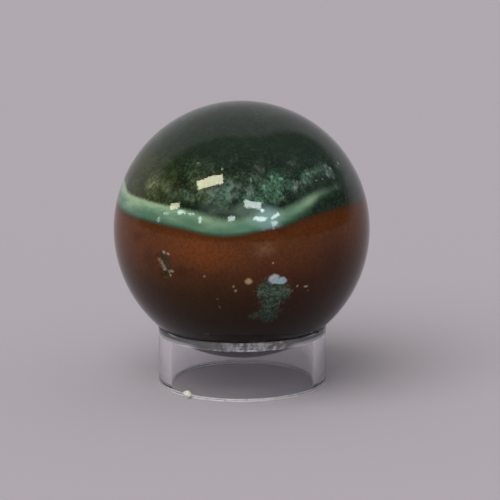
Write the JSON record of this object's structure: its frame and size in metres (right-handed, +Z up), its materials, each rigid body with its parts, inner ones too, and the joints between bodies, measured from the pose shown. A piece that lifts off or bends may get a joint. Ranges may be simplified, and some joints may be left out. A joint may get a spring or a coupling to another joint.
{
  "type": "pietersite sphere",
  "caption": "Polished banded stone ball resting in the conical seat of a short clear ring stand.",
  "frame": {"origin": "centre of the ring stand's foot, on the surface it stands on", "axes": "+Z up through the centres of the ring and the ball; the front, with the pit and the mossy patch, faces -Y"},
  "size_m": [0.0604, 0.0604, 0.0672],
  "materials": {
    "stone": "polished: dark green top, pale green vein, red-brown lower half",
    "clear_ring": "clear cast acrylic, turned and polished"
  },
  "bodies": {
    "root": {"stone_ball": "stone", "ring_stand": "clear_ring"}
  },
  "joints": []
}
